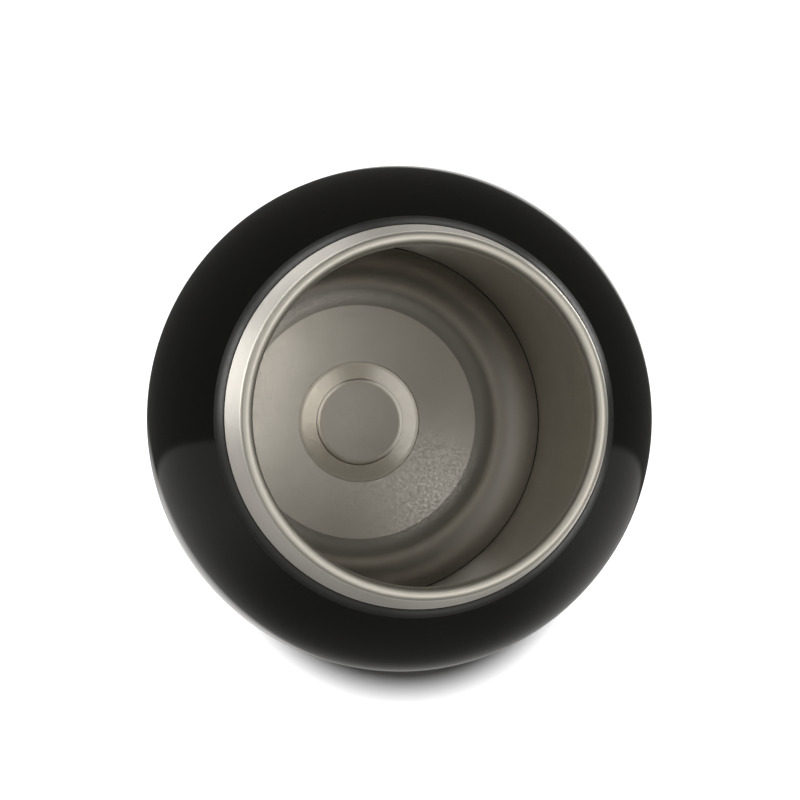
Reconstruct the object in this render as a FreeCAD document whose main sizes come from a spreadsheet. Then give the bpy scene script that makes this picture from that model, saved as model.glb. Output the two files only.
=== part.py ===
import FreeCAD, Part
import math
import os
import Sketcher

# Vacuum insulated growler, 1.9 litres, standing upright.
# The origin is the centre of the resting face of the base pad; +Z is the axis, towards the mouth.
# All sizes are in millimetres and all angles in degrees.

doc = FreeCAD.newDocument("Growler")
sheet = doc.addObject("Spreadsheet::Sheet", "Sizes")

# Every size that can be set by itself: name, value, what it is.
driving_sizes = [
    ("overallHeight", 214.0, "resting face to the crest of the lip"),
    ("bodyRadius", 64.0, "outside of the coated body"),
    ("coat", 0.2, "thickness of the powder coat"),
    ("outerWall", 0.8, "steel of the outer shell and outer bottom"),
    ("innerWall", 0.6, "steel of the inner shell and inner bottom"),
    ("vacuumGap", 3.8, "between the shells along the body"),
    ("mouthRadius", 38.0, "throat that a stopper or lid seals in"),
    ("lipWidth", 3.0, "across the rolled lip"),
    ("lipHeight", 2.6, "crest of the lip to its lower edge outside"),
    ("throatHeight", 3.0, "straight stretch under the roll of the lip"),
    ("mouthWeldHeight", 0.4, "weld groove between lip and outer shell"),
    ("mouthWeldDepth", 0.25, "how far the weld lies under the lip's side"),
    ("neckHeight", 16.4, "crest of the lip to the foot of the bare neck"),
    ("neckFlare", 13.9, "how far the neck leans out from the axis"),
    ("rootRadius", 7.0, "hollow between neck and shoulder, outside"),
    ("shoulderRadius", 46.6, "round of the shoulder, outside"),
    ("innerNeckDrop", 2.0, "foot of the inner neck under that of the outer neck"),
    ("rootEase", 5.0, "extra radius of the hollow on the wet face"),
    ("shoulderEase", 2.8, "radius that the wet face's shoulder loses to the gap"),
    ("floorHeight", 18.0, "resting face to the inner floor"),
    ("cupCorner", 18.3, "round between inner floor and inner wall"),
    ("cupWall", 2.0, "straight wall of the inner bottom, over its round"),
    ("seamHeight", 0.8, "height of the weld round the inner wall"),
    ("seamProud", 0.1, "how far that weld stands out of the wall"),
    ("plateauRadius", 13.9, "flat top of the boss in the inner floor"),
    ("plateauHeight", 3.0, "how far the boss stands up"),
    ("plateauRamp", 6.0, "width of the slope round the boss"),
    ("baseLift", 1.5, "resting face to the coated rim of the body"),
    ("baseCorner", 5.0, "round at the foot of the outer shell"),
    ("flangeWidth", 2.0, "turned-in edge at the foot of the outer shell"),
    ("baseWeldWidth", 0.6, "weld between outer shell and outer bottom"),
    ("bottomEdge", 2.0, "flat edge of the outer bottom, weld to bend"),
    ("bottomBend", 1.0, "round where the outer bottom turns up"),
    ("recessHeight", 5.4, "resting face to the floor of the base recess"),
    ("dimpleRadius", 7.0, "dimple that the port lies in"),
    ("dimpleDepth", 2.0, "how far the dimple goes up"),
    ("portRadius", 1.2, "hole that the air is drawn out through"),
    ("sealClearance", 2.0, "round the solder button, in the dimple"),
    ("sealHeight", 1.5, "height of the solder button over the port"),
    ("padWidth", 16.8, "base pad, from its hole to its outer edge"),
    ("padEdge", 1.0, "round on the edges of the base pad"),
    ("padGroove", 1.2, "width of a groove in the resting face"),
    ("padGrooveDepth", 0.8, "depth of a groove in the resting face"),
    ("padClearance", 0.4, "round the base pad, in the recess"),
    ("tape", 0.2, "thickness of the bonding tape"),
    ("tapeMargin", 1.0, "the tape stops short of the edges by this"),
    ("coverThickness", 0.6, "base cover"),
    ("coverClearance", 0.5, "between base cover and base pad"),
    ("getterRadius", 6.0, "getter pellet"),
    ("getterHeight", 2.0, "getter pellet"),
    ("holderWall", 0.3, "steel of the getter holder"),
    ("holderClearance", 0.2, "round the getter pellet, in its holder"),
    ("holderFlange", 3.0, "rim of the holder, welded to the inner bottom"),
    ("holderLip", 2.5, "edge of the holder that carries the pellet"),
    ("foil", 0.15, "heat shield wrapped round the inner shell"),
    ("foilMargin", 6.0, "bare wall left at each end of the heat shield"),
]

# Sizes that follow from the ones above, as formulas in the same sheet.
derived_sizes = [
    ("flareCos", "cos(neckFlare)"),
    ("flareSin", "sin(neckFlare)"),
    ("flareTan", "tan(neckFlare)"),
    ("flareHalfTan", "tan(neckFlare / 2)"),
    # Rolled lip.
    ("rollRadius", "lipWidth / 2"),
    ("rollZ", "overallHeight - rollRadius"),
    ("lipRadius", "mouthRadius + lipWidth"),
    ("lipFootZ", "overallHeight - lipHeight"),
    # Outer shell: neck cone, hollow root arc, shoulder arc, body.
    ("shellRadius", "bodyRadius - coat"),
    ("neckTopZ", "lipFootZ - mouthWeldHeight"),
    ("neckFootZ", "overallHeight - neckHeight"),
    ("neckFootR", "lipRadius + (neckTopZ - neckFootZ) * flareTan"),
    ("rootR", "neckFootR + rootRadius * flareCos"),
    ("rootZ", "neckFootZ + rootRadius * flareSin"),
    ("outerCos", "(rootR + shoulderRadius - shellRadius) / (rootRadius + shoulderRadius)"),
    ("outerSin", "sqrt(1 - outerCos * outerCos)"),
    ("shoulderR", "shellRadius - shoulderRadius"),
    ("shoulderZ", "rootZ - (rootRadius + shoulderRadius) * outerSin"),
    ("cornerZ", "baseLift + coat + baseCorner"),
    ("cornerR", "shellRadius - baseCorner"),
    ("flangeZ", "baseLift + coat"),
    ("flangeR", "cornerR - flangeWidth"),
    # Inner shell: throat, neck cone, hollow root arc, shoulder arc, body.
    ("innerRadius", "shellRadius - outerWall - vacuumGap - innerWall"),
    ("throatZ", "rollZ - throatHeight"),
    ("innerRootRadius", "rootRadius + rootEase"),
    ("innerShoulderRadius", "shoulderRadius - outerWall - shoulderEase"),
    ("innerNeckZ", "neckFootZ - innerNeckDrop"),
    ("innerNeckR", "mouthRadius + (throatZ - innerNeckZ) * flareTan"),
    ("innerRootR", "innerNeckR + innerRootRadius * flareCos"),
    ("innerRootZ", "innerNeckZ + innerRootRadius * flareSin"),
    ("innerArcs", "innerRootRadius + innerShoulderRadius"),
    ("innerCos", "(innerRootR + innerShoulderRadius - innerRadius) / innerArcs"),
    ("innerSin", "sqrt(1 - innerCos * innerCos)"),
    ("innerShoulderZ", "innerRootZ - innerArcs * innerSin"),
    # Inner bottom: straight wall, corner round, floor, boss with an S-shaped slope.
    ("cupTopZ", "floorHeight + cupCorner + cupWall"),
    ("seamTopZ", "cupTopZ + seamHeight"),
    ("rampFootR", "plateauRadius + plateauRamp"),
    ("rampArc", "(plateauRamp * plateauRamp + plateauHeight * plateauHeight) / (4 * plateauHeight)"),
    ("rampMidR", "plateauRadius + plateauRamp / 2"),
    ("rampMidZ", "floorHeight + plateauHeight / 2"),
    ("rampSin", "plateauRamp / 2 / rampArc"),
    ("rampCos", "1 - plateauHeight / 2 / rampArc"),
    ("plateauZ", "floorHeight + plateauHeight"),
    ("plateauUnderZ", "plateauZ - innerWall"),
    # Outer bottom, its recess and what is bonded in it.
    ("bottomEdgeR", "flangeR - baseWeldWidth"),
    ("recessRadius", "bottomEdgeR - bottomEdge - bottomBend"),
    ("dimpleZ", "recessHeight + dimpleDepth"),
    ("sealRadius", "dimpleRadius - sealClearance"),
    ("padOuterR", "recessRadius - padClearance"),
    ("padInnerRadius", "padOuterR - padWidth"),
    ("padTopZ", "recessHeight - tape"),
    ("padMiddleR", "(padOuterR + padInnerRadius) / 2"),
    ("coverRadius", "padInnerRadius - coverClearance"),
    ("coverZ", "padTopZ - coverThickness"),
    # Getter.
    ("getterZ", "plateauUnderZ - getterHeight"),
    ("holderR", "getterRadius + holderClearance"),
    ("foilRadius", "innerRadius + innerWall"),
]


def fill_sheet():
    """Write the driving sizes as numbers and the derived ones as formulas."""
    row = 1
    for alias, size, meaning in driving_sizes:
        sheet.set("A%d" % row, alias)
        sheet.set("B%d" % row, str(size))
        sheet.set("C%d" % row, meaning)
        sheet.setAlias("B%d" % row, alias)
        row += 1
    for alias, formula in derived_sizes:
        sheet.set("A%d" % row, alias)
        sheet.set("B%d" % row, "=" + formula)
        sheet.setAlias("B%d" % row, alias)
        row += 1
    doc.recompute()


def on_sheet(formula):
    """A formula of the sheet's names, as another object of the document writes it."""
    names = [entry[0] for entry in driving_sizes + derived_sizes]
    words = []
    word = ""
    for letter in formula + " ":
        if letter.isalnum():
            word += letter
            continue
        words.append("Sizes." + word if word in names else word)
        words.append(letter)
        word = ""
    return "".join(words).strip()


def size_of(formula):
    """The present value of a formula of the sheet's names."""
    return float(sheet.evalExpression(formula))


# An outline is a list of corners, each (radius, height, arc), going round the section.
# The arc says how the side that leaves the corner runs: None for straight, or the
# radius with "left" or "right" for the side of the travel that its centre lies on.

def corner(radius, height, arc=None):
    return (radius, height, arc)


def side_between(start, end, arc):
    """The sketch geometry of one side, and which of its ends is the start."""
    first = FreeCAD.Vector(start[0], start[1], 0)
    last = FreeCAD.Vector(end[0], end[1], 0)
    if arc is None:
        return Part.LineSegment(first, last), 1, 2
    radius = size_of(arc[0])
    chord = last - first
    reach = math.sqrt(max(radius * radius - chord.Length * chord.Length / 4, 0))
    across = FreeCAD.Vector(-chord.y, chord.x, 0).normalize()
    if arc[1] == "right":
        across = across * -1
    centre = (first + last) * 0.5 + across * reach
    angle_first = math.atan2(first.y - centre.y, first.x - centre.x)
    angle_last = math.atan2(last.y - centre.y, last.x - centre.x)
    circle = Part.Circle(centre, FreeCAD.Vector(0, 0, 1), radius)
    if arc[1] == "left":
        return Part.ArcOfCircle(circle, angle_first, angle_last), 1, 2
    return Part.ArcOfCircle(circle, angle_last, angle_first), 2, 1


def draw_outline(sketch, corners):
    """Draw a closed outline and bind every corner and radius to the sheet."""
    places = [(size_of(radius), size_of(height)) for radius, height, arc in corners]
    sides = []
    for index, (radius, height, arc) in enumerate(corners):
        following = places[(index + 1) % len(corners)]
        sides.append(side_between(places[index], following, arc))
    for geometry, start, end in sides:
        sketch.addGeometry(geometry, False)
    for index, (geometry, start, end) in enumerate(sides):
        after = (index + 1) % len(sides)
        sketch.addConstraint(Sketcher.Constraint("Coincident", index, end, after, sides[after][1]))
    for index, (radius, height, arc) in enumerate(corners):
        start = sides[index][1]
        bind(sketch, Sketcher.Constraint("DistanceX", -1, 1, index, start, places[index][0]), radius)
        bind(sketch, Sketcher.Constraint("DistanceY", -1, 1, index, start, places[index][1]), height)
        if arc is not None:
            bind(sketch, Sketcher.Constraint("Radius", index, size_of(arc[0])), arc[0])


def bind(sketch, constraint, formula):
    number = sketch.addConstraint(constraint)
    sketch.setExpression("Constraints[%d]" % number, on_sheet(formula))


def turned(name, corners):
    """A body turned about the axis from an outline drawn on the XZ plane."""
    body = doc.addObject("PartDesign::Body", name)
    body.Label = name
    sketch = body.newObject("Sketcher::SketchObject", name + "_outline")
    plane = [item for item in body.Origin.OriginFeatures if item.Role == "XZ_Plane"][0]
    sketch.AttachmentSupport = (plane, [""])
    sketch.MapMode = "FlatFace"
    draw_outline(sketch, corners)
    revolution = body.newObject("PartDesign::Revolution", name + "_turned")
    revolution.Profile = sketch
    revolution.ReferenceAxis = (sketch, ["V_Axis"])
    revolution.Angle = 360
    sketch.Visibility = False
    body.Tip = revolution
    doc.recompute()
    return body


# The outer shell's faces are parallel curves, so each is the same outline moved out by an offset.

def outer_neck_foot(offset):
    return ["neckFootR + (%s) * flareCos" % offset, "neckFootZ + (%s) * flareSin" % offset]


def outer_root_end(offset):
    reach = "(rootRadius - (%s))" % offset
    return ["rootR - %s * outerCos" % reach, "rootZ - %s * outerSin" % reach]


def outer_down(offset):
    """From the foot of the neck down to the body's foot, on the face with this offset."""
    return [
        corner(*outer_neck_foot(offset), ("rootRadius - (%s)" % offset, "left")),
        corner(*outer_root_end(offset), ("shoulderRadius + (%s)" % offset, "right")),
        corner("shellRadius + (%s)" % offset, "shoulderZ"),
        corner("shellRadius + (%s)" % offset, "cornerZ", ("baseCorner + (%s)" % offset, "right")),
        corner("cornerR", "flangeZ - (%s)" % offset),
    ]


def outer_up(offset):
    """The same face, from the body's foot up to the foot of the neck."""
    return [
        corner("cornerR", "flangeZ - (%s)" % offset, ("baseCorner + (%s)" % offset, "left")),
        corner("shellRadius + (%s)" % offset, "cornerZ"),
        corner("shellRadius + (%s)" % offset, "shoulderZ", ("shoulderRadius + (%s)" % offset, "left")),
        corner(*outer_root_end(offset), ("rootRadius - (%s)" % offset, "right")),
        corner(*outer_neck_foot(offset)),
    ]


def make_outer_shell():
    outline = [corner("lipRadius", "neckTopZ")]
    outline += outer_down("0")
    outline += [
        corner("flangeR", "flangeZ"),
        corner("flangeR", "flangeZ + outerWall"),
    ]
    outline += outer_up("0 - outerWall")
    outline += [corner("lipRadius - outerWall / flareCos", "neckTopZ")]
    return turned("outer_shell", outline)


def make_powder_coat():
    return turned("powder_coat", outer_down("coat") + outer_up("0"))


def inner_down(offset):
    """From the throat down to the seam, on the face that lies this far out of the wet face."""
    return [
        corner("mouthRadius + (%s)" % offset, "throatZ + (%s) * flareHalfTan" % offset),
        corner("innerNeckR + (%s) * flareCos" % offset, "innerNeckZ + (%s) * flareSin" % offset,
               ("innerRootRadius - (%s)" % offset, "left")),
        corner("innerRootR - (innerRootRadius - (%s)) * innerCos" % offset,
               "innerRootZ - (innerRootRadius - (%s)) * innerSin" % offset,
               ("innerShoulderRadius + (%s)" % offset, "right")),
        corner("innerRadius + (%s)" % offset, "innerShoulderZ"),
        corner("innerRadius + (%s)" % offset, "seamTopZ"),
    ]


def reversed_outline(corners):
    """The same corners the other way round, with each arc moved to its new first corner."""
    arcs = [arc for radius, height, arc in corners]
    turned_round = []
    for index in range(len(corners) - 1, -1, -1):
        radius, height, arc = corners[index]
        arc_before = arcs[index - 1] if index > 0 else None
        if arc_before is not None:
            arc_before = (arc_before[0], "left" if arc_before[1] == "right" else "right")
        turned_round.append(corner(radius, height, arc_before))
    return turned_round


def make_inner_shell():
    outline = [
        corner("lipRadius", "lipFootZ"),
        corner("lipRadius - innerWall", "lipFootZ"),
        corner("lipRadius - innerWall", "rollZ", ("rollRadius - innerWall", "left")),
        corner("mouthRadius + rollRadius", "overallHeight - innerWall", ("rollRadius - innerWall", "left")),
        corner("mouthRadius + innerWall", "rollZ"),
    ]
    outline += inner_down("innerWall")
    outline += reversed_outline(inner_down("0"))
    outline += [
        corner("mouthRadius", "rollZ", ("rollRadius", "right")),
        corner("mouthRadius + rollRadius", "overallHeight", ("rollRadius", "right")),
        corner("lipRadius", "rollZ"),
    ]
    return turned("inner_shell", outline)


def make_mouth_weld():
    return turned("mouth_weld", [
        corner("lipRadius - outerWall", "neckTopZ"),
        corner("lipRadius - mouthWeldDepth", "neckTopZ"),
        corner("lipRadius - mouthWeldDepth", "lipFootZ"),
        corner("lipRadius - outerWall", "lipFootZ"),
    ])


def make_inner_bottom():
    return turned("inner_bottom", [
        corner("0", "plateauZ"),
        corner("0", "plateauUnderZ"),
        corner("plateauRadius", "plateauUnderZ", ("rampArc - innerWall", "right")),
        corner("rampMidR - innerWall * rampSin", "rampMidZ - innerWall * rampCos",
               ("rampArc + innerWall", "left")),
        corner("rampFootR", "floorHeight - innerWall"),
        corner("innerRadius - cupCorner", "floorHeight - innerWall", ("cupCorner + innerWall", "left")),
        corner("innerRadius + innerWall", "floorHeight + cupCorner"),
        corner("innerRadius + innerWall", "cupTopZ"),
        corner("innerRadius", "cupTopZ"),
        corner("innerRadius", "floorHeight + cupCorner", ("cupCorner", "right")),
        corner("innerRadius - cupCorner", "floorHeight"),
        corner("rampFootR", "floorHeight", ("rampArc", "right")),
        corner("rampMidR", "rampMidZ", ("rampArc", "left")),
        corner("plateauRadius", "plateauZ"),
    ])


def make_inner_seam_weld():
    return turned("inner_seam_weld", [
        corner("innerRadius - seamProud", "cupTopZ"),
        corner("innerRadius + innerWall + seamProud", "cupTopZ"),
        corner("innerRadius + innerWall + seamProud", "seamTopZ"),
        corner("innerRadius - seamProud", "seamTopZ"),
    ])


def make_heat_shield():
    return turned("heat_shield", [
        corner("foilRadius", "seamTopZ + foilMargin"),
        corner("foilRadius + foil", "seamTopZ + foilMargin"),
        corner("foilRadius + foil", "innerShoulderZ - foilMargin"),
        corner("foilRadius", "innerShoulderZ - foilMargin"),
    ])


def make_outer_bottom():
    return turned("outer_bottom", [
        corner("portRadius", "dimpleZ"),
        corner("dimpleRadius", "dimpleZ"),
        corner("dimpleRadius", "recessHeight"),
        corner("recessRadius", "recessHeight"),
        corner("recessRadius", "flangeZ + bottomBend", ("bottomBend", "left")),
        corner("recessRadius + bottomBend", "flangeZ"),
        corner("bottomEdgeR", "flangeZ"),
        corner("bottomEdgeR", "flangeZ + outerWall"),
        corner("recessRadius + bottomBend", "flangeZ + outerWall"),
        corner("recessRadius + outerWall", "flangeZ + bottomBend"),
        corner("recessRadius + outerWall", "recessHeight + outerWall"),
        corner("dimpleRadius + outerWall", "recessHeight + outerWall"),
        corner("dimpleRadius + outerWall", "dimpleZ + outerWall"),
        corner("portRadius", "dimpleZ + outerWall"),
    ])


def make_base_weld():
    return turned("base_weld", [
        corner("bottomEdgeR", "flangeZ"),
        corner("flangeR", "flangeZ"),
        corner("flangeR", "flangeZ + outerWall"),
        corner("bottomEdgeR", "flangeZ + outerWall"),
    ])


def make_port_seal():
    return turned("port_seal", [
        corner("0", "dimpleZ + outerWall"),
        corner("0", "dimpleZ - sealHeight"),
        corner("sealRadius - sealHeight", "dimpleZ - sealHeight", ("sealHeight", "left")),
        corner("sealRadius", "dimpleZ"),
        corner("portRadius", "dimpleZ"),
        corner("portRadius", "dimpleZ + outerWall"),
    ])


def make_base_pad():
    outline = [
        corner("padInnerRadius", "padTopZ"),
        corner("padInnerRadius", "padEdge", ("padEdge", "left")),
        corner("padInnerRadius + padEdge", "0"),
    ]
    for groove_middle in ("(padInnerRadius + padMiddleR) / 2", "padMiddleR", "(padOuterR + padMiddleR) / 2"):
        outline += [
            corner(groove_middle + " - padGroove / 2", "0"),
            corner(groove_middle + " - padGroove / 2", "padGrooveDepth"),
            corner(groove_middle + " + padGroove / 2", "padGrooveDepth"),
            corner(groove_middle + " + padGroove / 2", "0"),
        ]
    outline += [
        corner("padOuterR - padEdge", "0", ("padEdge", "left")),
        corner("padOuterR", "padEdge"),
        corner("padOuterR", "padTopZ"),
    ]
    return turned("base_pad", outline)


def flat_ring(name, inner, outer, low, high):
    """A ring with square edges."""
    return turned(name, [corner(inner, low), corner(outer, low), corner(outer, high), corner(inner, high)])


def make_base_cover():
    return turned("base_cover", [
        corner("0", "padTopZ"),
        corner("0", "coverZ"),
        corner("coverRadius - coverThickness", "coverZ", ("coverThickness", "left")),
        corner("coverRadius", "padTopZ"),
    ])


def make_getter_pellet():
    pellet = doc.addObject("Part::Cylinder", "getter_pellet")
    pellet.Label = "getter_pellet"
    pellet.setExpression("Radius", on_sheet("getterRadius"))
    pellet.setExpression("Height", on_sheet("getterHeight"))
    pellet.setExpression("Placement.Base.z", on_sheet("getterZ"))
    doc.recompute()
    return pellet


def make_getter_holder():
    return turned("getter_holder", [
        corner("holderR - holderLip", "getterZ - holderWall"),
        corner("holderR + holderWall", "getterZ - holderWall"),
        corner("holderR + holderWall", "plateauUnderZ - holderWall"),
        corner("holderR + holderFlange", "plateauUnderZ - holderWall"),
        corner("holderR + holderFlange", "plateauUnderZ"),
        corner("holderR", "plateauUnderZ"),
        corner("holderR", "getterZ"),
        corner("holderR - holderLip", "getterZ"),
    ])


def check_and_write(pieces):
    """Stop on any failed object or bad solid, then write one STEP file for each piece."""
    for item in doc.Objects:
        if "Invalid" in item.State or "Error" in item.State:
            raise RuntimeError("%s did not compute: %s" % (item.Name, item.State))
    for piece in pieces:
        shape = piece.Shape
        if shape.isNull() or not shape.isValid() or len(shape.Solids) != 1:
            raise RuntimeError("%s is not one sound solid" % piece.Label)
    os.makedirs("parts", exist_ok=True)
    for piece in pieces:
        piece.Shape.exportStep("parts/%s.step" % piece.Label)
        box = piece.Shape.optimalBoundingBox(True, True)
        print("%-18s volume %10.1f  radius %6.2f  z %7.2f to %7.2f" % (
            piece.Label, piece.Shape.Volume, box.XMax, box.ZMin, box.ZMax))


fill_sheet()
pieces = [
    make_outer_shell(),
    make_powder_coat(),
    make_inner_shell(),
    make_mouth_weld(),
    make_inner_bottom(),
    make_inner_seam_weld(),
    make_heat_shield(),
    make_outer_bottom(),
    make_base_weld(),
    make_port_seal(),
    flat_ring("pad_tape", "padInnerRadius + tapeMargin", "padOuterR - tapeMargin", "padTopZ", "recessHeight"),
    make_base_pad(),
    flat_ring("cover_tape", "dimpleRadius + tapeMargin", "coverRadius - tapeMargin", "padTopZ", "recessHeight"),
    make_base_cover(),
    make_getter_pellet(),
    make_getter_holder(),
]
check_and_write(pieces)
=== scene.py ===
import bmesh
import bpy
import math
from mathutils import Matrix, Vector


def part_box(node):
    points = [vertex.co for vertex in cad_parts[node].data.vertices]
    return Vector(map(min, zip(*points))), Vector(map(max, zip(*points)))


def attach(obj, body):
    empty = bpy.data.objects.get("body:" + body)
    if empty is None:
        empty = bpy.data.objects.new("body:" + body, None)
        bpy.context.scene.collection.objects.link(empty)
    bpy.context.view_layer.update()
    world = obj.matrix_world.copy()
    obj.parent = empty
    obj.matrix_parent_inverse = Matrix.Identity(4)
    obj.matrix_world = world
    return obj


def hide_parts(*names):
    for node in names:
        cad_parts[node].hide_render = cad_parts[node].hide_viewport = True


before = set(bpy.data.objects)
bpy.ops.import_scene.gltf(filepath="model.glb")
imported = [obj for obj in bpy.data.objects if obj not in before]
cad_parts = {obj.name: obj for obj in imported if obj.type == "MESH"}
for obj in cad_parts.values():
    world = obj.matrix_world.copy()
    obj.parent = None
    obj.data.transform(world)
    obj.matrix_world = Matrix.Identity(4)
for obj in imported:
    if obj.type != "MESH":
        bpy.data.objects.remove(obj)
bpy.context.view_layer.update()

# Growler standing upright on its base pad, mouth up. Metres and degrees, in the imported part's frame.

aroundSteps = 192       # segments round the axis
arcStep = 5.0           # degrees of an outline's arc in one segment
fewestSteps = 3         # segments of the shortest arc
mergeGap = 1e-7         # points closer than this are one point


def drawOutline(start, strokes, closed=True):
    # An outline in the XZ plane. (radius, height) is a straight stroke to that point and
    # (radius, height, degrees) a turn about that centre, positive from up towards out.
    bm = bmesh.new()
    first = bm.verts.new((start[0], 0, start[1]))
    pen = first
    for stroke in strokes:
        if len(stroke) == 2:
            made = bmesh.ops.extrude_vert_indiv(bm, verts=[pen])
            pen = made["verts"][0]
            pen.co = (stroke[0], 0, stroke[1])
        else:
            steps = max(fewestSteps, round(abs(stroke[2]) / arcStep))
            made = bmesh.ops.spin(bm, geom=[pen], cent=(stroke[0], 0, stroke[1]), axis=(0, 1, 0),
                                  angle=math.radians(stroke[2]), steps=steps, use_duplicate=False)
            pen = made["geom_last"][0]
    if closed:
        bm.edges.new((pen, first))
    bmesh.ops.remove_doubles(bm, verts=bm.verts, dist=mergeGap)
    return bm


def turnOutline(name, bm, material, sharpAngle=32):
    # One full turn about the axis, merged at the seam and at the poles.
    bmesh.ops.spin(bm, geom=bm.verts[:] + bm.edges[:], cent=(0, 0, 0), axis=(0, 0, 1),
                   angle=math.radians(360), steps=aroundSteps, use_merge=True, use_duplicate=False)
    bmesh.ops.remove_doubles(bm, verts=bm.verts, dist=mergeGap)
    bmesh.ops.dissolve_degenerate(bm, edges=bm.edges, dist=mergeGap)
    bmesh.ops.recalc_face_normals(bm, faces=bm.faces)
    mesh = bpy.data.meshes.new(name)
    bm.to_mesh(mesh)
    bm.free()
    mesh.shade_smooth()
    mesh.set_sharp_from_angle(angle=math.radians(sharpAngle))
    mesh.materials.append(material)
    piece = bpy.data.objects.new(name, mesh)
    bpy.context.collection.objects.link(piece)
    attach(piece, "root")
    return piece


def standFor(piece, node):
    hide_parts(node)
    print("made", piece.name, "for", node)


# Materials. Each reads Object coordinates, in metres.

def newFinish(name, metallic, roughness):
    material = bpy.data.materials.new(name)
    material.use_nodes = True
    shader = material.node_tree.nodes["Principled BSDF"]
    shader.inputs["Metallic"].default_value = metallic
    shader.inputs["Roughness"].default_value = roughness
    coords = material.node_tree.nodes.new("ShaderNodeTexCoord")
    return material, shader, coords.outputs["Object"]


def addNode(material, kind, **settings):
    node = material.node_tree.nodes.new(kind)
    for key, value in settings.items():
        setattr(node, key, value)
    return node


def noiseOf(material, coords, scale, detail=2.0):
    noise = addNode(material, "ShaderNodeTexNoise")
    noise.inputs["Scale"].default_value = scale
    noise.inputs["Detail"].default_value = detail
    material.node_tree.links.new(coords, noise.inputs["Vector"])
    return noise.outputs["Fac"]


def rangeOf(material, value, low, high, fromLow=0.3, fromHigh=0.7):
    node = addNode(material, "ShaderNodeMapRange")
    node.inputs["From Min"].default_value = fromLow
    node.inputs["From Max"].default_value = fromHigh
    node.inputs["To Min"].default_value = low
    node.inputs["To Max"].default_value = high
    material.node_tree.links.new(value, node.inputs["Value"])
    return node.outputs["Result"]


def colourOf(material, value, dark, light, low=0.3, high=0.7):
    ramp = addNode(material, "ShaderNodeValToRGB")
    ramp.color_ramp.elements[0].position = low
    ramp.color_ramp.elements[0].color = (*dark, 1)
    ramp.color_ramp.elements[1].position = high
    ramp.color_ramp.elements[1].color = (*light, 1)
    material.node_tree.links.new(value, ramp.inputs["Fac"])
    return ramp.outputs["Color"]


def bumpFrom(material, shader, height, strength, distance):
    bump = addNode(material, "ShaderNodeBump")
    bump.inputs["Strength"].default_value = strength
    bump.inputs["Distance"].default_value = distance
    material.node_tree.links.new(height, bump.inputs["Height"])
    material.node_tree.links.new(bump.outputs["Normal"], shader.inputs["Normal"])


def radiusOf(material, coords):
    # Distance from the axis.
    flat = addNode(material, "ShaderNodeVectorMath", operation="MULTIPLY")
    flat.inputs[1].default_value = (1, 1, 0)
    material.node_tree.links.new(coords, flat.inputs[0])
    radius = addNode(material, "ShaderNodeVectorMath", operation="LENGTH")
    material.node_tree.links.new(flat.outputs[0], radius.inputs[0])
    return radius.outputs["Value"]


def turningLines(material, coords, along, across):
    # Noise drawn out round the axis, so it shows as the fine rings that a lathe or a belt leaves.
    links = material.node_tree.links
    split = addNode(material, "ShaderNodeSeparateXYZ")
    links.new(coords, split.inputs[0])
    level = addNode(material, "ShaderNodeMath", operation="SUBTRACT")
    links.new(radiusOf(material, coords), level.inputs[0])
    links.new(split.outputs["Z"], level.inputs[1])
    stretch = addNode(material, "ShaderNodeMath", operation="MULTIPLY")
    stretch.inputs[1].default_value = across / along
    links.new(level.outputs[0], stretch.inputs[0])
    joined = addNode(material, "ShaderNodeCombineXYZ")
    links.new(split.outputs["X"], joined.inputs["X"])
    links.new(split.outputs["Y"], joined.inputs["Y"])
    links.new(stretch.outputs[0], joined.inputs["Z"])
    return noiseOf(material, joined.outputs[0], along, detail=3.0)


def makeBlackCoat():
    look = dict(dark=(0.0062, 0.0062, 0.0046), light=(0.0082, 0.0081, 0.0062), cloudScale=18,
                smooth=0.06, dull=0.10, wearScale=72, peelScale=420, peelStrength=0.06, peelDepth=0.00004)
    material, shader, coords = newFinish("blackCoat", 0.0, look["smooth"])
    links = material.node_tree.links
    cloud = noiseOf(material, coords, look["cloudScale"])
    links.new(colourOf(material, cloud, look["dark"], look["light"]), shader.inputs["Base Color"])
    wear = noiseOf(material, coords, look["wearScale"], detail=4.0)
    links.new(rangeOf(material, wear, look["smooth"], look["dull"]), shader.inputs["Roughness"])
    peel = noiseOf(material, coords, look["peelScale"], detail=1.0)
    bumpFrom(material, shader, peel, look["peelStrength"], look["peelDepth"])
    return material


def makeTurnedSteel(name, dark, light, smooth, dull, strength=0.25, lipDull=0.0):
    # Given a lipDull, the finish turns that much duller over the rolled lip.
    look = dict(along=14, across=5200, depth=0.00003, cloudScale=30, lipFrom=0.2086, lipTo=0.2100)
    material, shader, coords = newFinish(name, 1.0, smooth)
    links = material.node_tree.links
    lines = turningLines(material, coords, look["along"], look["across"])
    cloud = noiseOf(material, coords, look["cloudScale"], detail=3.0)
    links.new(colourOf(material, cloud, dark, light), shader.inputs["Base Color"])
    finish = rangeOf(material, lines, smooth, dull)
    if lipDull:
        split = addNode(material, "ShaderNodeSeparateXYZ")
        links.new(coords, split.inputs[0])
        grown = addNode(material, "ShaderNodeMath", operation="ADD")
        links.new(finish, grown.inputs[0])
        extra = rangeOf(material, split.outputs["Z"], 0.0, lipDull, look["lipFrom"], look["lipTo"])
        links.new(extra, grown.inputs[1])
        finish = grown.outputs[0]
    links.new(finish, shader.inputs["Roughness"])
    bumpFrom(material, shader, lines, strength, look["depth"])
    return material


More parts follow.
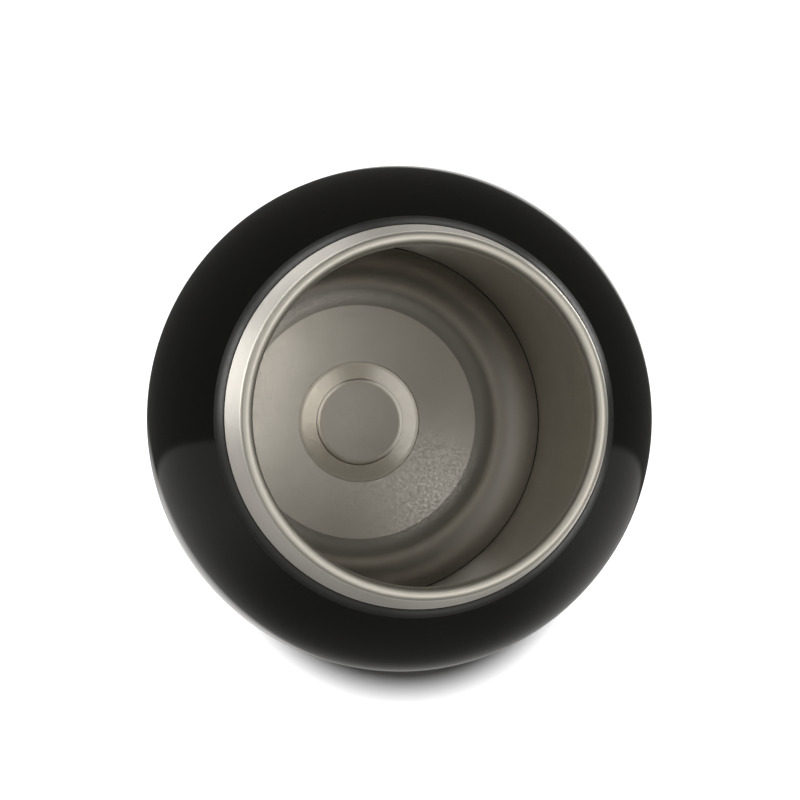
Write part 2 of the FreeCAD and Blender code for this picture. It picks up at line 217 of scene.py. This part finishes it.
def makeGrainSteel(name, dark, light, smooth, dull, grain=1500, strength=0.25, band=None):
    # Satin sheet with a fine matt grain, as pressed and electropolished steel has. A band is a ring of
    # painted shade, a darker colour that stands in for a dark reflection: its two radii, how far each edge
    # fades, and how much of the colour it keeps.
    look = dict(depth=0.00004, cloudScale=26, shade=(0.02, 0.018, 0.014))
    material, shader, coords = newFinish(name, 1.0, smooth)
    links = material.node_tree.links
    speck = noiseOf(material, coords, grain, detail=3.0)
    cloud = noiseOf(material, coords, look["cloudScale"], detail=3.0)
    colour = colourOf(material, cloud, dark, light)
    # Painted shade: a darker ring of colour in place of the dark reflection of the wall in the floor's
    # corner.
    if band:
        inner, outer, most = band["inner"], band["outer"], 1.0 - band["kept"]
        radius = radiusOf(material, coords)
        paintedShadeMask = addNode(material, "ShaderNodeMath", operation="SUBTRACT")
        links.new(rangeOf(material, radius, 0.0, most, inner - band["innerFade"], inner), paintedShadeMask.inputs[0])
        links.new(rangeOf(material, radius, 0.0, most, outer, outer + band["outerFade"]), paintedShadeMask.inputs[1])
        shaded = addNode(material, "ShaderNodeMix", data_type="RGBA")
        links.new(paintedShadeMask.outputs[0], shaded.inputs["Factor"])
        links.new(colour, shaded.inputs["A"])
        shaded.inputs["B"].default_value = (*look["shade"], 1)
        colour = shaded.outputs["Result"]
    links.new(colour, shader.inputs["Base Color"])
    links.new(rangeOf(material, speck, smooth, dull), shader.inputs["Roughness"])
    bumpFrom(material, shader, speck, strength, look["depth"])
    return material


def makeDullFinish(name, dark, light, roughness, grain, metallic=0.0, strength=0.3, specular=0.5):
    # Paint, rubber, tape and sintered metal: one fine speck drives the colour, the dullness and the bump.
    look = dict(spread=0.15, depth=0.00005)
    material, shader, coords = newFinish(name, metallic, roughness)
    shader.inputs["Specular IOR Level"].default_value = specular
    links = material.node_tree.links
    speck = noiseOf(material, coords, grain, detail=4.0)
    links.new(colourOf(material, speck, dark, light), shader.inputs["Base Color"])
    smooth = roughness * (1 - look["spread"])
    dull = min(1.0, roughness * (1 + look["spread"]))
    links.new(rangeOf(material, speck, smooth, dull), shader.inputs["Roughness"])
    bumpFrom(material, shader, speck, strength, look["depth"])
    return material


blackCoat = makeBlackCoat()
satinBand = makeDullFinish("satinBand", dark=(0.018, 0.0175, 0.015), light=(0.024, 0.0235, 0.020),
                           roughness=0.42, grain=900, strength=0.1, specular=0.16)
neckSteel = makeTurnedSteel("neckSteel", dark=(0.69, 0.655, 0.595), light=(0.77, 0.735, 0.675),
                            smooth=0.40, dull=0.50)
linerSteel = makeTurnedSteel("linerSteel", dark=(0.60, 0.575, 0.51), light=(0.67, 0.645, 0.58),
                             smooth=0.32, dull=0.40, lipDull=0.16)
# Painted shade on the dished floor: a darker ring between these radii, standing in for the dark reflection
# of the wall in the corner.
floorPaintedShade = dict(inner=0.0404, outer=0.0460, innerFade=0.0004, outerFade=0.0022, kept=0.48)
floorSteel = makeGrainSteel("floorSteel", dark=(0.56, 0.53, 0.48), light=(0.62, 0.59, 0.54),
                            smooth=0.30, dull=0.42, grain=1100, strength=0.3, band=floorPaintedShade)
weldSteel = makeTurnedSteel("weldSteel", dark=(0.16, 0.15, 0.13), light=(0.30, 0.28, 0.25),
                            smooth=0.35, dull=0.5)
seamSteel = makeTurnedSteel("seamSteel", dark=(0.05, 0.046, 0.04), light=(0.13, 0.12, 0.105),
                            smooth=0.45, dull=0.6)
bottomSteel = makeGrainSteel("bottomSteel", dark=(0.42, 0.41, 0.39), light=(0.50, 0.49, 0.47),
                             smooth=0.35, dull=0.45)
coverSteel = makeTurnedSteel("coverSteel", dark=(0.55, 0.54, 0.52), light=(0.63, 0.62, 0.60),
                             smooth=0.25, dull=0.35)
holderSteel = makeGrainSteel("holderSteel", dark=(0.45, 0.44, 0.42), light=(0.53, 0.52, 0.50),
                             smooth=0.3, dull=0.4)
shieldFoil = makeGrainSteel("shieldFoil", dark=(0.74, 0.74, 0.74), light=(0.84, 0.84, 0.84),
                            smooth=0.12, dull=0.22, grain=160, strength=0.5)
solderBead = makeDullFinish("solderBead", dark=(0.03, 0.03, 0.035), light=(0.06, 0.06, 0.07),
                            roughness=0.2, grain=500)
bondTape = makeDullFinish("bondTape", dark=(0.62, 0.60, 0.55), light=(0.72, 0.70, 0.65),
                          roughness=0.8, grain=900)
padRubber = makeDullFinish("padRubber", dark=(0.012, 0.012, 0.012), light=(0.022, 0.022, 0.021),
                           roughness=0.7, grain=1400)
getterAlloy = makeDullFinish("getterAlloy", dark=(0.10, 0.10, 0.105), light=(0.20, 0.20, 0.21),
                             roughness=0.75, grain=2200, metallic=0.6, strength=0.6)
print("materials made")


# The shell's curves, shared by every skin that follows it.

shellSizes = dict(neckFlare=13.9, neckHeight=0.0164, lipWidth=0.003, lipHeight=0.0026,
                  weldHeight=0.0004, weldDepth=0.00025, rootRadius=0.007, shoulderRadius=0.0466,
                  coat=0.0002, outerWall=0.0008, innerWall=0.0006, vacuumGap=0.0038,
                  throatHeight=0.003, innerNeckDrop=0.002, rootEase=0.005, shoulderEase=0.0028,
                  baseCorner=0.005, flangeWidth=0.002)


def shellCurve(footRadius, footHeight, rootRadius, shoulderRadius, bodyRadius):
    # Centres and turns of the hollow root and the round shoulder between a neck and a body.
    lean = math.radians(shellSizes["neckFlare"])
    rootR = footRadius + rootRadius * math.cos(lean)
    rootZ = footHeight + rootRadius * math.sin(lean)
    reach = rootRadius + shoulderRadius
    turn = math.acos((rootR + shoulderRadius - bodyRadius) / reach)
    return dict(foot=(footRadius, footHeight), root=(rootR, rootZ),
                shoulder=(bodyRadius - shoulderRadius, rootZ - reach * math.sin(turn)),
                rootTurn=math.degrees(turn - lean), shoulderTurn=math.degrees(turn))


def footAt(curve, offset):
    # The foot of the neck, on the face that lies this far out from the curve.
    lean = math.radians(shellSizes["neckFlare"])
    return (curve["foot"][0] + offset * math.cos(lean), curve["foot"][1] + offset * math.sin(lean))


def curveDown(curve):
    return [(*curve["root"], -curve["rootTurn"]), (*curve["shoulder"], curve["shoulderTurn"])]


def curveUp(curve):
    return [(*curve["shoulder"], -curve["shoulderTurn"]), (*curve["root"], curve["rootTurn"])]


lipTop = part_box("inner_shell")[1].z
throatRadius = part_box("mouth_weld")[1].x + shellSizes["weldDepth"] - shellSizes["lipWidth"]
lipRadius = throatRadius + shellSizes["lipWidth"]
rollRadius = shellSizes["lipWidth"] / 2
rollZ = lipTop - rollRadius
lipFootZ = lipTop - shellSizes["lipHeight"]
neckTopZ = lipFootZ - shellSizes["weldHeight"]
flareTan = math.tan(math.radians(shellSizes["neckFlare"]))
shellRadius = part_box("outer_shell")[1].x
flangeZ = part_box("outer_shell")[0].z
cornerR = shellRadius - shellSizes["baseCorner"]
cornerZ = flangeZ + shellSizes["baseCorner"]
neckFootZ = lipTop - shellSizes["neckHeight"]
neckFootR = lipRadius + (neckTopZ - neckFootZ) * flareTan
outerCurve = shellCurve(neckFootR, neckFootZ, shellSizes["rootRadius"], shellSizes["shoulderRadius"],
                        shellRadius)
innerRadius = shellRadius - shellSizes["outerWall"] - shellSizes["vacuumGap"] - shellSizes["innerWall"]
throatZ = rollZ - shellSizes["throatHeight"]
innerFootZ = neckFootZ - shellSizes["innerNeckDrop"]
innerFootR = throatRadius + (throatZ - innerFootZ) * flareTan
innerCurve = shellCurve(innerFootR, innerFootZ, shellSizes["rootRadius"] + shellSizes["rootEase"],
                        shellSizes["shoulderRadius"] - shellSizes["outerWall"] - shellSizes["shoulderEase"],
                        innerRadius)
print("shell curve: body", round(shellRadius, 5), "inside", round(innerRadius, 5),
      "throat", round(throatRadius, 5))


def bendAt(curve, offset):
    # Where the hollow root turns into the round shoulder, this far out from the curve.
    rise = math.radians(shellSizes["neckFlare"] + curve["rootTurn"])
    reach = offset - shellSizes["rootRadius"]
    return (curve["root"][0] + reach * math.cos(rise), curve["root"][1] + reach * math.sin(rise))


def makeCoat():
    # Satin in the hollow root beside the bare neck, gloss from there down.
    coat = shellSizes["coat"]
    root, rootTurn = outerCurve["root"], outerCurve["rootTurn"]
    shoulder, shoulderTurn = outerCurve["shoulder"], outerCurve["shoulderTurn"]
    strokes = [(*root, -rootTurn), bendAt(outerCurve, 0), (*root, rootTurn)]
    band = turnOutline("coatBand", drawOutline(footAt(outerCurve, coat), strokes), satinBand)
    standFor(band, "powder_coat")
    strokes = [(*shoulder, shoulderTurn), (shellRadius + coat, cornerZ), (cornerR, cornerZ, 90),
               (cornerR, flangeZ), (cornerR, cornerZ, -90), (shellRadius, shoulder[1]),
               (*shoulder, -shoulderTurn)]
    body = turnOutline("coatSkin", drawOutline(bendAt(outerCurve, coat), strokes), blackCoat)
    standFor(body, "powder_coat")


def makeOuterShell():
    wall = shellSizes["outerWall"]
    flangeR = cornerR - shellSizes["flangeWidth"]
    lean = math.radians(shellSizes["neckFlare"])
    strokes = [footAt(outerCurve, 0)]
    strokes += curveDown(outerCurve)
    strokes += [(shellRadius, cornerZ), (cornerR, cornerZ, 90), (flangeR, flangeZ),
                (flangeR, flangeZ + wall), (cornerR, flangeZ + wall), (cornerR, cornerZ, -90),
                (shellRadius - wall, outerCurve["shoulder"][1])]
    strokes += curveUp(outerCurve)
    strokes += [(lipRadius - wall / math.cos(lean), neckTopZ)]
    piece = turnOutline("steelShell", drawOutline((lipRadius, neckTopZ), strokes), neckSteel)
    standFor(piece, "outer_shell")


def makeLiner():
    wall = shellSizes["innerWall"]
    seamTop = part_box("inner_seam_weld")[1].z
    rollCentre = (throatRadius + rollRadius, rollZ)
    cornerRise = wall * math.tan(math.radians(shellSizes["neckFlare"] / 2))
    strokes = [(lipRadius - wall, lipFootZ), (lipRadius - wall, rollZ), (*rollCentre, -180),
               (throatRadius + wall, throatZ + cornerRise), footAt(innerCurve, wall)]
    strokes += curveDown(innerCurve)
    strokes += [(innerRadius + wall, seamTop), (innerRadius, seamTop),
                (innerRadius, innerCurve["shoulder"][1])]
    strokes += curveUp(innerCurve)
    strokes += [(throatRadius, throatZ), (throatRadius, rollZ), (*rollCentre, 180)]
    piece = turnOutline("rolledLiner", drawOutline((lipRadius, lipFootZ), strokes), linerSteel)
    standFor(piece, "inner_shell")


def makeLipWeld():
    # A groove under the lip, dipping a little further in at its middle.
    weld = dict(dip=0.00006, backing=0.0008)
    middle = (lipFootZ + neckTopZ) / 2
    faceR = lipRadius - shellSizes["weldDepth"]
    backR = lipRadius - weld["backing"]
    strokes = [(faceR, neckTopZ), (faceR - weld["dip"], middle), (faceR, lipFootZ), (backR, lipFootZ)]
    piece = turnOutline("lipWeldRing", drawOutline((backR, neckTopZ), strokes), weldSteel)
    standFor(piece, "mouth_weld")


cupSizes = dict(bossRadius=0.0139, bossHeight=0.003, ramp=0.006, rampEdge=0.0009, corner=0.0183)


def makeCentreBoss(floorZ):
    # The raised middle of the pressed bottom: a flat top and a sloping rim, eased at both edges.
    wall = shellSizes["innerWall"]
    bossTop = floorZ + cupSizes["bossHeight"]
    lean = math.atan2(cupSizes["bossHeight"], cupSizes["ramp"])
    ease = cupSizes["rampEdge"] / math.tan(lean / 2)
    turn = math.degrees(lean)
    topR = cupSizes["bossRadius"]
    footR = topR + cupSizes["ramp"]
    shift = cupSizes["rampEdge"]
    strokes = [(topR - shift, bossTop), (topR - shift, bossTop - ease, turn),
               (footR + shift, floorZ + ease, -turn), (footR + shift, floorZ - wall),
               (footR, floorZ - wall), (topR, bossTop - wall), (0, bossTop - wall)]
    piece = turnOutline("centreBoss", drawOutline((0, bossTop), strokes, closed=False), floorSteel)
    standFor(piece, "inner_bottom")
    return footR + shift


def makeDishedBottom():
    # From the boss out, flat and then round up to the wall.
    wall = shellSizes["innerWall"]
    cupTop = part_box("inner_bottom")[1].z
    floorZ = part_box("inner_bottom")[0].z + wall
    startR = makeCentreBoss(floorZ)
    cupR = innerRadius - cupSizes["corner"]
    cupZ = floorZ + cupSizes["corner"]
    strokes = [(cupR, floorZ), (cupR, cupZ, -90), (innerRadius, cupTop), (innerRadius + wall, cupTop),
               (innerRadius + wall, cupZ), (cupR, cupZ, 90), (startR, floorZ - wall)]
    piece = turnOutline("dishedBottom", drawOutline((startR, floorZ), strokes), floorSteel)
    standFor(piece, "inner_bottom")


def makeSeamBead():
    bead = dict(proud=0.00027, sharpAngle=60)
    low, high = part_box("inner_seam_weld")
    half = (high.z - low.z) / 2
    middle = (high.z + low.z) / 2
    bow = (half ** 2 + bead["proud"] ** 2) / (2 * bead["proud"])
    turn = math.degrees(math.asin(half / bow)) * 2
    outside = innerRadius + shellSizes["innerWall"]
    strokes = [(innerRadius - bead["proud"] + bow, middle, turn), (outside, high.z), (outside, low.z)]
    piece = turnOutline("seamBead", drawOutline((innerRadius, low.z), strokes), seamSteel,
                        sharpAngle=bead["sharpAngle"])
    standFor(piece, "inner_seam_weld")


def makeOuterBottom():
    pressing = dict(wall=0.0008, bend=0.001, padGap=0.0004, dimpleRadius=0.007, portRadius=0.0012)
    wall, bend = pressing["wall"], pressing["bend"]
    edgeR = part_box("outer_bottom")[1].x
    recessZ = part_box("pad_tape")[1].z
    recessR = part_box("base_pad")[1].x + pressing["padGap"]
    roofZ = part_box("outer_bottom")[1].z - wall
    dimpleR, portR = pressing["dimpleRadius"], pressing["portRadius"]
    bendCentre = (recessR + bend, flangeZ + bend)
    strokes = [(dimpleR, roofZ), (dimpleR, recessZ), (recessR, recessZ), (recessR, flangeZ + bend),
               (*bendCentre, -90), (edgeR, flangeZ), (edgeR, flangeZ + wall),
               (recessR + bend, flangeZ + wall), (recessR + wall, flangeZ + bend),
               (recessR + wall, recessZ + wall), (dimpleR + wall, recessZ + wall),
               (dimpleR + wall, roofZ + wall), (portR, roofZ + wall)]
    piece = turnOutline("pressedBase", drawOutline((portR, roofZ), strokes), bottomSteel)
    standFor(piece, "outer_bottom")


def makeBaseWeld():
    low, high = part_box("base_weld")
    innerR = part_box("outer_bottom")[1].x
    strokes = [(high.x, low.z), (high.x, high.z), (innerR, high.z)]
    piece = turnOutline("baseWeldRing", drawOutline((innerR, low.z), strokes), weldSteel)
    standFor(piece, "base_weld")


def makeBasePad():
    pad = dict(width=0.0168, edge=0.001, groove=0.0012, grooveDepth=0.0008, grooves=3)
    low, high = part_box("base_pad")
    innerR = high.x - pad["width"]
    strokes = [(innerR, low.z + pad["edge"]), (innerR + pad["edge"], low.z + pad["edge"], -90)]
    for number in range(pad["grooves"]):
        middle = innerR + pad["width"] * (number + 1) / (pad["grooves"] + 1)
        half = pad["groove"] / 2
        strokes += [(middle - half, low.z), (middle - half, low.z + pad["grooveDepth"]),
                    (middle + half, low.z + pad["grooveDepth"]), (middle + half, low.z)]
    strokes += [(high.x - pad["edge"], low.z), (high.x - pad["edge"], low.z + pad["edge"], -90),
                (high.x, high.z)]
    piece = turnOutline("groovedPad", drawOutline((innerR, high.z), strokes), padRubber)
    standFor(piece, "base_pad")


def makeBaseCover():
    low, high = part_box("base_cover")
    thick = high.z - low.z
    strokes = [(high.x - thick, low.z), (high.x - thick, high.z, -90), (0, high.z)]
    piece = turnOutline("coverDisc", drawOutline((0, low.z), strokes, closed=False), coverSteel)
    standFor(piece, "base_cover")


makeCoat()
makeOuterShell()
makeLiner()
makeLipWeld()
makeDishedBottom()
makeSeamBead()
makeOuterBottom()
makeBaseWeld()
makeBasePad()
makeBaseCover()

# Pieces that stay as they are packed, with their own finishes.
keptFinishes = dict(heat_shield=shieldFoil, port_seal=solderBead, pad_tape=bondTape, cover_tape=bondTape,
                    getter_pellet=getterAlloy, getter_holder=holderSteel)
for nodeName, finish in keptFinishes.items():
    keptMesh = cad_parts[nodeName].data
    keptMesh.materials.clear()
    keptMesh.materials.append(finish)
print("kept nodes finished")


def makePaleFloor():
    # Seen through from below, so the base can be looked at.
    look = dict(colour=(0.06, 0.06, 0.06), cloudScale=2, smooth=0.75, dull=0.85)
    material, shader, coords = newFinish("paleFloor", 0.0, look["dull"])
    nodes, links = material.node_tree.nodes, material.node_tree.links
    shader.inputs["Base Color"].default_value = (*look["colour"], 1)
    cloud = noiseOf(material, coords, look["cloudScale"])
    links.new(rangeOf(material, cloud, look["smooth"], look["dull"]), shader.inputs["Roughness"])
    side = addNode(material, "ShaderNodeNewGeometry")
    clear = addNode(material, "ShaderNodeBsdfTransparent")
    mix = addNode(material, "ShaderNodeMixShader")
    links.new(side.outputs["Backfacing"], mix.inputs["Fac"])
    links.new(shader.outputs[0], mix.inputs[1])
    links.new(clear.outputs[0], mix.inputs[2])
    links.new(mix.outputs[0], nodes["Material Output"].inputs["Surface"])
    return material


def makeFloor():
    size = dict(half=3.0, drop=0.00002)
    bm = bmesh.new()
    bmesh.ops.create_grid(bm, x_segments=1, y_segments=1, size=size["half"])
    bmesh.ops.translate(bm, verts=bm.verts, vec=(0, 0, -size["drop"]))
    mesh = bpy.data.meshes.new("floor")
    bm.to_mesh(mesh)
    bm.free()
    mesh.materials.append(makePaleFloor())
    floor = bpy.data.objects.new("floor", mesh)
    bpy.context.collection.objects.link(floor)
    floor.visible_glossy = False
    return floor


def makeFloorSun(floor):
    # Lights the floor alone, so its brightness and the shadow by the body are set apart from the gloss.
    sun = dict(strength=50.0, softness=4.5, aim=(-0.11, 0.20, 1.0))
    light = bpy.data.lights.new("floorSun", "SUN")
    light.energy = sun["strength"]
    light.angle = math.radians(sun["softness"])
    lamp = bpy.data.objects.new("floorSun", light)
    bpy.context.collection.objects.link(lamp)
    lamp.rotation_euler = Vector(sun["aim"]).to_track_quat("Z", "Y").to_euler()
    lit = bpy.data.collections.new("floorOnly")
    lit.objects.link(floor)
    lamp.light_linking.receiver_collection = lit


def makeWorld():
    # A soft room. The camera sees it pale, and surfaces are lit by round soft lights in it:
    # azimuth, angle from straight up, half width, soft edge, all in degrees, and strength.
    room = dict(seen=1.0, fill=0.07, tint=(1.0, 0.985, 0.955), lights=[
        (-18, 22, 16, 8, 2.1),
        (0, 0, 38, 6, 1.4),
        (0, 0, 25, 6, -1.3),
        (35, 64, 18, 5, 0.8),
        (150, 64, 18, 5, 0.9),
        (270, 90, 83, 2, 0.26),
        (270, 100, 44, 40, -0.24),
        (225, 160, 11, 8, 0.7),
        (45, 160, 11, 8, 0.8)])
    world = bpy.data.worlds.new("studio")
    bpy.context.scene.world = world
    world.use_nodes = True
    nodes, links = world.node_tree.nodes, world.node_tree.links
    nodes.clear()
    around = nodes.new("ShaderNodeTexCoord").outputs["Generated"]
    total = nodes.new("ShaderNodeMath")
    total.operation = "ADD"
    total.inputs[0].default_value = room["fill"]
    total.inputs[1].default_value = 0.0
    for azimuth, polar, halfWidth, softEdge, strength in room["lights"]:
        turn, lean = math.radians(azimuth), math.radians(polar)
        facing = nodes.new("ShaderNodeVectorMath")
        facing.operation = "DOT_PRODUCT"
        aside = math.sin(lean)
        facing.inputs[1].default_value = (aside * math.cos(turn), aside * math.sin(turn), math.cos(lean))
        links.new(around, facing.inputs[0])
        edge = nodes.new("ShaderNodeMapRange")
        edge.interpolation_type = "SMOOTHSTEP"
        edge.inputs["From Min"].default_value = math.cos(math.radians(halfWidth + softEdge / 2))
        edge.inputs["From Max"].default_value = math.cos(math.radians(max(0, halfWidth - softEdge / 2)))
        edge.inputs["To Max"].default_value = strength
        links.new(facing.outputs["Value"], edge.inputs["Value"])
        grown = nodes.new("ShaderNodeMath")
        grown.operation = "ADD"
        links.new(total.outputs[0], grown.inputs[0])
        links.new(edge.outputs["Result"], grown.inputs[1])
        total = grown
    seen = nodes.new("ShaderNodeBackground")
    seen.inputs["Color"].default_value = (1, 1, 1, 1)
    seen.inputs["Strength"].default_value = room["seen"]
    lit = nodes.new("ShaderNodeBackground")
    lit.inputs["Color"].default_value = (*room["tint"], 1)
    links.new(total.outputs[0], lit.inputs["Strength"])
    path = nodes.new("ShaderNodeLightPath")
    mix = nodes.new("ShaderNodeMixShader")
    out = nodes.new("ShaderNodeOutputWorld")
    links.new(path.outputs["Is Camera Ray"], mix.inputs["Fac"])
    links.new(lit.outputs[0], mix.inputs[1])
    links.new(seen.outputs[0], mix.inputs[2])
    links.new(mix.outputs[0], out.inputs["Surface"])


def collect(name, pieces):
    group = bpy.data.collections.new(name)
    for piece in pieces:
        group.objects.link(bpy.data.objects[piece])
    return group


def makeLinkedPanel(name, azimuth, power, panel, lit):
    # A small area light that lights only the pieces in one collection, and faces a point on the axis.
    turn = math.radians(azimuth)
    light = bpy.data.lights.new(name, "AREA")
    light.shape = "RECTANGLE"
    light.size, light.size_y = panel["size"]
    light.energy = power
    lamp = bpy.data.objects.new(name, light)
    bpy.context.collection.objects.link(lamp)
    place = Vector((panel["distance"] * math.cos(turn), panel["distance"] * math.sin(turn), panel["height"]))
    lamp.location = place
    lamp.rotation_euler = (Vector((0, 0, panel["aimHeight"])) - place).to_track_quat("-Z", "Y").to_euler()
    lamp.visible_camera = False
    lamp.light_linking.receiver_collection = lit


def makePanels():
    # Low panels round the body for the bare neck, and faint glow inside for the boss, wall and floor.
    # Powers are pairs of azimuth and watts.
    litPieces = dict(neckOnly=("steelShell", "rolledLiner", "coatBand"), bossOnly=("centreBoss",),
                     wallOnly=("rolledLiner",), dishOnly=("dishedBottom",))
    panels = dict(
        neckPanel=dict(lit="neckOnly", distance=0.27, height=0.075, size=(0.16, 0.13), aimHeight=0.205,
                       powers=((30, 0.30), (75, 0.11), (122, 0.21), (165, 0.33), (210, 0.03), (245, 0.04),
                               (285, 0.06), (330, 0.12))),
        bossPanel=dict(lit="bossOnly", distance=0.050, height=0.045, size=(0.03, 0.045), aimHeight=0.019,
                       powers=((-20, 0.0030), (15, 0.0034), (50, 0.0030), (130, 0.0026), (165, 0.0022))),
        wallPanel=dict(lit="wallOnly", distance=0.034, height=0.03, size=(0.045, 0.03), aimHeight=1.0,
                       powers=((-75, 0.0007), (95, 0.0007))),
        cornerPanel=dict(lit="dishOnly", distance=0.032, height=0.050, size=(0.05, 0.04), aimHeight=0.040,
                         powers=((165, 0.0020),)),
        floorPanel=dict(lit="dishOnly", distance=0.053, height=0.165, size=(0.03, 0.03), aimHeight=0.03,
                        powers=((-32, 0.0065),)))
    lit = {name: collect(name, pieces) for name, pieces in litPieces.items()}
    for name, panel in panels.items():
        for azimuth, power in panel["powers"]:
            makeLinkedPanel(name, azimuth, power, panel, lit[panel["lit"]])


def makeCamera():
    lens = dict(length=70.6, place=(-0.0406, -0.0038, 0.55635), tilt=1.2, turn=-5.80)
    camera = bpy.data.objects.new("camera", bpy.data.cameras.new("camera"))
    camera.data.lens = lens["length"]
    camera.location = lens["place"]
    camera.rotation_euler = (math.radians(lens["tilt"]), math.radians(lens["turn"]), 0)
    bpy.context.collection.objects.link(camera)
    bpy.context.scene.camera = camera


makeFloorSun(makeFloor())
makeWorld()
makePanels()
makeCamera()
bpy.context.scene.view_settings.view_transform = "Standard"
print("stage, lights and camera made")
